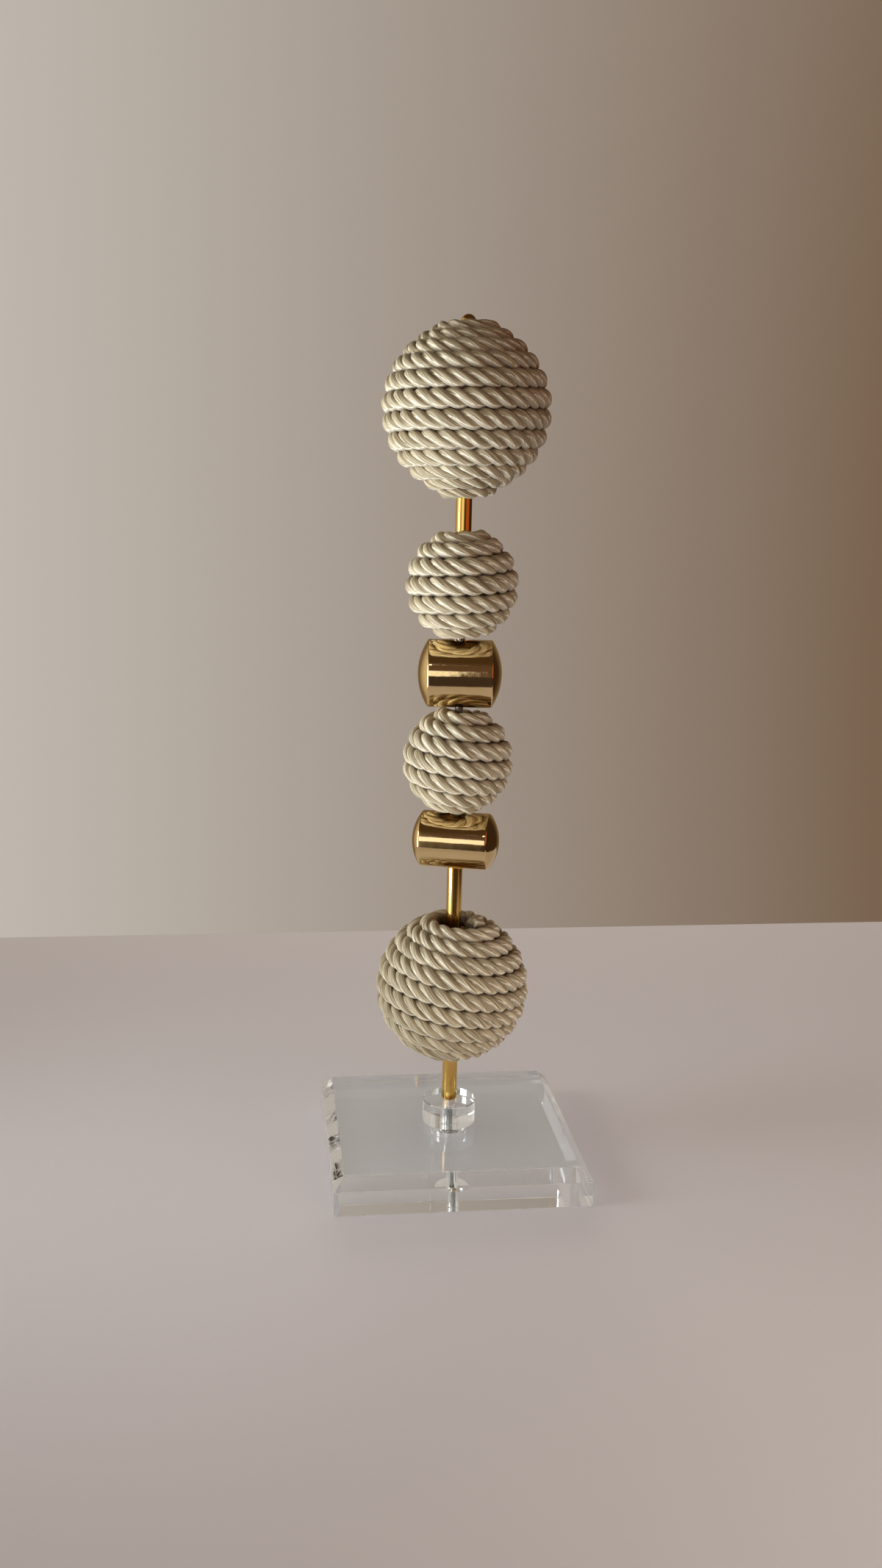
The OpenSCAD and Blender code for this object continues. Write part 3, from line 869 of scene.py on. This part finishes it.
    # how far a point lies on the lower flank of its strand, from 1 there to -1 on the upper flank; the
    # material places its painted highlight and shade by this
    lessUpright = (1, 1, 0.45)      # takes some of the height out of the way out from the ball
    fromMiddle = addNode(tree, "ShaderNodeVectorMath", {0: place, 1: middleRead.outputs[0]},
                         operation="SUBTRACT")
    facing = addNode(tree, "ShaderNodeVectorMath", {0: fromMiddle.outputs[0]},
                     operation="NORMALIZE").outputs[0]
    level = addNode(tree, "ShaderNodeVectorMath", {0: fromCentre.outputs[0], 1: lessUpright},
                    operation="MULTIPLY")
    aside = addNode(tree, "ShaderNodeVectorMath", {0: strandRead.outputs[0], 1: level.outputs[0]},
                    operation="CROSS_PRODUCT")
    across = addNode(tree, "ShaderNodeVectorMath", {0: aside.outputs[0]}, operation="NORMALIZE").outputs[0]
    upPart = addNode(tree, "ShaderNodeSeparateXYZ", {0: across}).outputs["Z"]
    upSign = addNode(tree, "ShaderNodeMath", {0: upPart}, operation="SIGN").outputs[0]
    sideShare = addNode(tree, "ShaderNodeVectorMath", {0: facing, 1: across},
                        operation="DOT_PRODUCT").outputs["Value"]
    upperShare = addNode(tree, "ShaderNodeMath", {0: sideShare, 1: upSign}, operation="MULTIPLY").outputs[0]
    flankShare = addNode(tree, "ShaderNodeMath", {0: upperShare, 1: -1.0}, operation="MULTIPLY").outputs[0]
    flank = addNode(tree, "GeometryNodeStoreNamedAttribute",
                    {"Geometry": crest.outputs[0], "Name": "flank", "Value": flankShare}, data_type="FLOAT")
    endTree(tree, flank.outputs[0], given.outputs["Material"])
    return tree, identifiers


def windingPath(name, centre, radius):
    # points along the middle of the cord, and the spacing of its rows
    ball = balls[name]
    top = math.asin((ball["over"] + cord["high"]) / 2 / radius)
    bottom = math.pi - math.asin((ball["under"] + cord["high"]) / 2 / radius)
    front = -math.pi / 2
    points = []
    for i in range(cord["pathSteps"] + 1):
        turns = -ball["lead"] + (ball["lead"] + ball["rows"] + ball["trail"]) * i / cord["pathSteps"]
        share = min(1, max(0, turns / ball["rows"]))
        past = abs(turns - share * ball["rows"])
        bent = share - ball["swell"] * math.sin(2 * math.pi * share) / (2 * math.pi)
        bent -= ball["crowd"] * share * (1 - share)
        polar = top + (bottom - top) * bent
        turn = front + ball["hand"] * 2 * math.pi * (turns + ball["first"])
        lean = math.radians(ball["lean"] + ball["swing"] * math.sin(polar) ** 2)
        spot = Vector((math.sin(polar) * math.cos(turn), math.sin(polar) * math.sin(turn), math.cos(polar)))
        ride = cord["endRide"] * past ** 2
        lifted = ball["lift"] * max(0, 1 - max(0, turns))
        dropped = ball["drop"] * max(0, 1 - max(0, ball["rows"] - turns))
        stand = Vector((0, 0, lifted - dropped))
        points.append(centre + Matrix.Rotation(lean, 3, "Y") @ spot * (radius + ride) + stand)
    return points, radius * (bottom - top) / ball["rows"] * (1 + ball["swell"])


def makeWinding(name, tree, identifiers):
    low, high = boxMm(name + "_core")
    centre = (low + high) / 2
    radius = high.x + cord["glue"] + cord["high"] / 2
    points, pitch = windingPath(name, centre, radius)
    length = sum((b - a).length for a, b in zip(points, points[1:]))
    edges = [(i, i + 1) for i in range(len(points) - 1)]
    piece = growPiece(name + "_cord_wound", points, edges, [], tree, identifiers, {
        "Centre": centre * mm, "Strands": cord["strands"], "Lay": cord["lay"] * mm, "High": cord["high"] * mm,
        "Wide": pitch * cord["squeeze"] * mm, "Strand radius": cord["strandRadius"] * mm,
        "Around": cord["around"], "Ring step": cord["ringStep"] * mm, "Material": satinCord})
    piece.data.shade_smooth()
    settle(piece, name, "ivory_cord", name + "_cord")
    triangles = sum(len(p.vertices) - 2 for p in piece.data.polygons)
    print(name, "winding: rows", round(pitch, 2), "mm apart,", round(length), "mm of cord,",
          triangles, "triangles")


satinCord = makeSatinCord()
windTree, windIdentifiers = cordTree()
for ballName in balls:
    makeWinding(ballName, windTree, windIdentifiers)
print("windings made")


# Wooden cores stay as the frame has them
for ballName in balls:
    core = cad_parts[ballName + "_core"]
    core.data.materials.clear()
    core.data.materials.append(coreWood)
print("cores painted")


# Stage: a pale table under the part and a warm wall behind it, darker to the right with painted shade, which
# is the world's own colour
stage = {
    "front": -270, "back": 290, "side": 360,    # the table's edges
    "drop": 0.3,                # how far the table lies under the part
    "table": "#E0DFE2",
    "tableSeen": "#6D6A6C",     # what the eye, metal and the clear base see besides, which takes no shadow
    "wallLeft": "#C0B8AF",      # the wall, as the eye and the clear base see it
    # the wall's right side, darker with painted shade
    "wallRight": "#7A6450",
    "wallGlow": "#7A6448",      # from here to underTable: what metal mirrors, and what lights the part
    "leftGlow": "#D9CBB0",
    "rightGloom": "#3A281C",
    "room": "#5F4A3E",
    "ceiling": "#4A3826",
    "underTable": "#41352F",
    "glow": 1.15,               # strength of those colours as light
    "bounces": 32,              # light goes to and fro inside the clear base
}


def makeTable():
    # Pale woven cloth: matt, with a faint rib across the table
    material, tree, shader = newMaterial("paleTableCloth")
    place = addNode(tree, "ShaderNodeTexCoord").outputs["Object"]
    thread, ribStretch = 1.2 * mm, 0.35
    weave = addNode(tree, "ShaderNodeMapping",
                    {"Vector": place, "Scale": (ribStretch / thread, 1 / thread, 1 / thread)})
    noise = addNode(tree, "ShaderNodeTexNoise", {"Vector": weave.outputs[0], "Scale": 1.0, "Detail": 2.0})
    bump = addNode(tree, "ShaderNodeBump",
                   {"Strength": 0.25, "Distance": 0.2 * mm, "Height": noise.outputs[0]})
    path = addNode(tree, "ShaderNodeLightPath")
    mirrored = addNode(tree, "ShaderNodeMath",
                       {0: path.outputs["Is Glossy Ray"], 1: path.outputs["Is Transmission Ray"]},
                       operation="MAXIMUM").outputs[0]
    seen = addNode(tree, "ShaderNodeMath", {0: mirrored, 1: path.outputs["Is Camera Ray"]},
                   operation="MAXIMUM")
    setInputs(tree, shader, {
        "Base Color": linear(stage["table"]), "Roughness": 0.8, "Normal": bump.outputs[0],
        "Emission Color": linear(stage["tableSeen"]), "Emission Strength": seen.outputs[0]})
    corners = [Vector((x, y, -stage["drop"])) for x, y in (
        (-stage["side"], stage["front"]), (stage["side"], stage["front"]),
        (stage["side"], stage["back"]), (-stage["side"], stage["back"]))]
    table = addPiece("table", corners, [(0, 1, 2, 3)], material)


def makeWorld():
    # the eye and the clear base see a pale wall, with painted shade that darkens it to the right only where
    # the camera looks;
    # metal sees a warm wall behind, a light left, a dim right and a dim room in front,
    # and the part is lit by the same
    world = bpy.data.worlds.new("plainRoom")
    bpy.context.scene.world = world
    world.use_nodes = True
    tree = world.node_tree
    toward = addNode(tree, "ShaderNodeTexCoord").outputs["Generated"]
    parts = addNode(tree, "ShaderNodeSeparateXYZ", {0: toward})

    # shares by the direction that is looked in
    right = addNode(tree, "ShaderNodeMapRange", {0: parts.outputs["X"], 1: -0.17, 2: 0.4})
    behind = addNode(tree, "ShaderNodeMapRange", {0: parts.outputs["Y"], 1: -0.15, 2: 0.15})
    high = addNode(tree, "ShaderNodeMapRange", {0: parts.outputs["Z"], 1: 0.45, 2: 0.7})
    low = addNode(tree, "ShaderNodeMapRange", {0: parts.outputs["Z"], 1: 0.0, 2: -0.1})
    beyond = addNode(tree, "ShaderNodeMapRange", {0: parts.outputs["Y"], 1: 0.75, 2: 0.87})
    # painted shade: the wall straight behind darkens toward the right
    shady = addNode(tree, "ShaderNodeMath", {0: right.outputs[0], 1: beyond.outputs[0]}, operation="MULTIPLY")
    wall = addNode(tree, "ShaderNodeMix", {0: shady.outputs[0], 6: linear(stage["wallLeft"]),
                                           7: linear(stage["wallRight"])}, data_type="RGBA")
    front = addNode(tree, "ShaderNodeMix", {0: low.outputs[0], 6: linear(stage["room"]),
                                            7: linear(stage["underTable"])}, data_type="RGBA")
    ends = addNode(tree, "ShaderNodeMix", {0: behind.outputs[0], 6: front.outputs[2],
                                           7: linear(stage["wallGlow"])}, data_type="RGBA")
    leftShare = addNode(tree, "ShaderNodeMapRange", {0: parts.outputs["X"], 1: -0.4, 2: -0.75})
    lighter = addNode(tree, "ShaderNodeMix", {0: leftShare.outputs[0], 6: ends.outputs[2],
                                              7: linear(stage["leftGlow"])}, data_type="RGBA")
    rightShare = addNode(tree, "ShaderNodeMapRange", {0: parts.outputs["X"], 1: 0.45, 2: 0.8})
    darker = addNode(tree, "ShaderNodeMix", {0: rightShare.outputs[0], 6: lighter.outputs[2],
                                             7: linear(stage["rightGloom"])}, data_type="RGBA")
    room = addNode(tree, "ShaderNodeMix", {0: high.outputs[0], 6: darker.outputs[2],
                                           7: linear(stage["ceiling"])}, data_type="RGBA")

    # the eye and the clear base get the wall, everything else the room
    path = addNode(tree, "ShaderNodeLightPath")
    seen = addNode(tree, "ShaderNodeMath",
                   {0: path.outputs["Is Camera Ray"], 1: path.outputs["Is Transmission Ray"]},
                   operation="MAXIMUM").outputs[0]
    shown = addNode(tree, "ShaderNodeMix", {0: seen, 6: room.outputs[2], 7: wall.outputs[2]},
                    data_type="RGBA")
    mirrored = addNode(tree, "ShaderNodeMath", {0: seen, 1: path.outputs["Is Glossy Ray"]},
                       operation="MAXIMUM")
    glow = addNode(tree, "ShaderNodeMapRange", {0: mirrored.outputs[0], 3: stage["glow"], 4: 1.0})
    setInputs(tree, tree.nodes["Background"], {"Color": shown.outputs[2], "Strength": glow.outputs[0]})


lamps = {
    # azimuth: degrees from the front round to the left; height, distance and size (across, up) in mm;
    # aim: height in mm that it points at; power in watts; spread in degrees
    "sideWindow": {"azimuth": 80, "height": 120, "distance": 620, "size": (280, 380), "aim": 300,
                   "power": 0.35, "spread": 70, "tint": "#F6FAFF"},
    "tableWindow": {"azimuth": 80, "height": 260, "distance": 500, "size": (200, 200), "aim": 0,
                    "power": 0.08, "spread": 60, "tint": "#F6FAFF"},
    "lowWindow": {"azimuth": 70, "height": 40, "distance": 400, "size": (240, 160), "aim": 310,
                  "power": 0.38, "spread": 80, "tint": "#F6FAFF"},
    "tableGlow": {"azimuth": -35, "height": 30, "distance": 380, "size": (300, 120), "aim": 70,
                  "power": 0.2, "spread": 90, "tint": "#FFF6EA"},
    "frontWindow": {"azimuth": 21.5, "height": 300, "distance": 900, "size": (500, 290), "aim": 160,
                    "power": 0.53, "spread": 180, "tint": "#FFFDFA"},
    "sideSheen": {"azimuth": 105, "height": 250, "distance": 1000, "size": (500, 500), "aim": 160,
                  "power": 0.3, "spread": 180, "tint": "#FFF9F0"},
    "backGlow": {"azimuth": 180, "height": 300, "distance": 900, "size": (700, 500), "aim": 160,
                 "power": 2.6, "spread": 180, "tint": "#FFF6EA"},
    "highStrip": {"azimuth": 16, "height": 900, "distance": 1000, "size": (260, 60), "aim": 160,
                  "power": 0.2, "spread": 180, "tint": "#FFFAF2"},
    "roomLamp": {"azimuth": -50, "height": 420, "distance": 1100, "size": (1000, 700), "aim": 160,
                 "power": 0.9, "spread": 180, "tint": "#FF8830"},
}
unmirrored = ("tableGlow", "backGlow")          # light off the table and the wall, which no mirror shows
unseenThrough = unmirrored + ("roomLamp",)      # what the clear base doesn't show


def makeLamps():
    for name, lamp in lamps.items():
        data = bpy.data.lights.new(name, "AREA")
        data.shape = "RECTANGLE"
        data.size, data.size_y = lamp["size"][0] * mm, lamp["size"][1] * mm
        data.energy = lamp["power"]
        data.color = linear(lamp["tint"])[:3]
        holder = bpy.data.objects.new(name, data)
        bpy.context.scene.collection.objects.link(holder)
        azimuth = math.radians(lamp["azimuth"])
        holder.location = Vector((-math.sin(azimuth) * lamp["distance"],
                                  -math.cos(azimuth) * lamp["distance"], lamp["height"])) * mm
        aim = Vector((0, 0, lamp["aim"])) * mm
        holder.rotation_euler = (aim - holder.location).to_track_quat("-Z", "Y").to_euler()
        data.spread = math.radians(lamp["spread"])
        holder.visible_camera = False
        holder.visible_glossy = name not in unmirrored
        holder.visible_transmission = name not in unseenThrough


makeTable()
makeWorld()
makeLamps()
bpy.context.scene.view_settings.view_transform = "Standard"
bpy.context.scene.cycles.max_bounces = stage["bounces"]
bpy.context.scene.cycles.glossy_bounces = stage["bounces"]
print("stage and lamps set")
